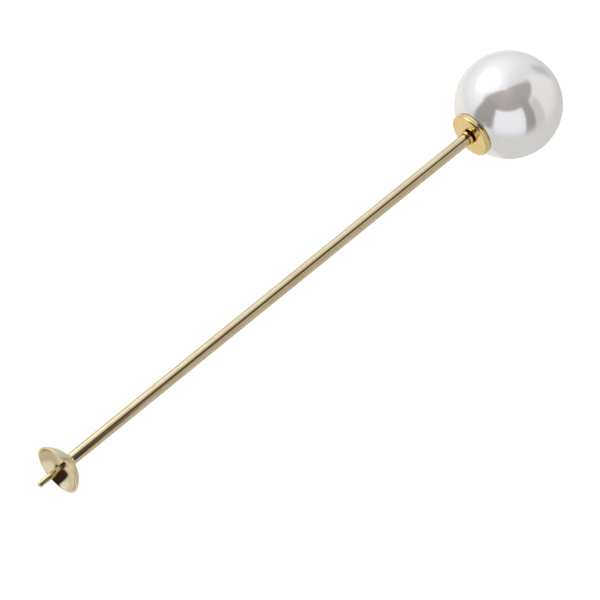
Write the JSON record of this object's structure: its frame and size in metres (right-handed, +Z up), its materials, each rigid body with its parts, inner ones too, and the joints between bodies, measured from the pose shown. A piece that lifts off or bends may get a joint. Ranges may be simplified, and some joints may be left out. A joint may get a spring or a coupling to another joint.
{
  "type": "hat pin",
  "caption": "Straight hat pin: round bead head on a pointed needle that pushes into a slim metal sleeve, whose far end carries an open cup and peg for a second bead.",
  "frame": {"origin": "on the pin's axis, halfway along the sleeve, where the hat's fabric is gripped", "axes": "+X along the pin from the tail cup to the pearl, +Z up; the pin is round about X"},
  "size_m": [0.0778, 0.012, 0.012],
  "materials": {
    "champagne_gold": "polished pale gold plate",
    "yellow_gold": "polished yellow gold plate",
    "needle_steel": "fine ground",
    "liner_silicone": "matt translucent white",
    "cured_glue": "clear, slightly yellow",
    "pearl_lacquer": "satin pearl lacquer"
  },
  "bodies": {
    "sleeve": {"tail_cup": "champagne_gold", "tail_peg": "champagne_gold", "braze_fillet": "champagne_gold", "sleeve_tube": "champagne_gold"},
    "liner": {"grip_liner": "liner_silicone"},
    "pearl_pin": {"needle": "needle_steel", "stop_collar": "yellow_gold", "pearl_plate": "yellow_gold", "bead_glue": "cured_glue", "pearl_bead": "pearl_lacquer"}
  },
  "joints": [
    {"name": "pearl_turn", "type": "hinge", "parent": "sleeve", "child": "liner", "pos_m": [0, 0, 0], "axis": [1, 0, 0], "continuous": true},
    {"name": "needle_pull", "type": "slide", "parent": "liner", "child": "pearl_pin", "axis": [1, 0, 0], "range_m": [0, 0.055]}
  ]
}
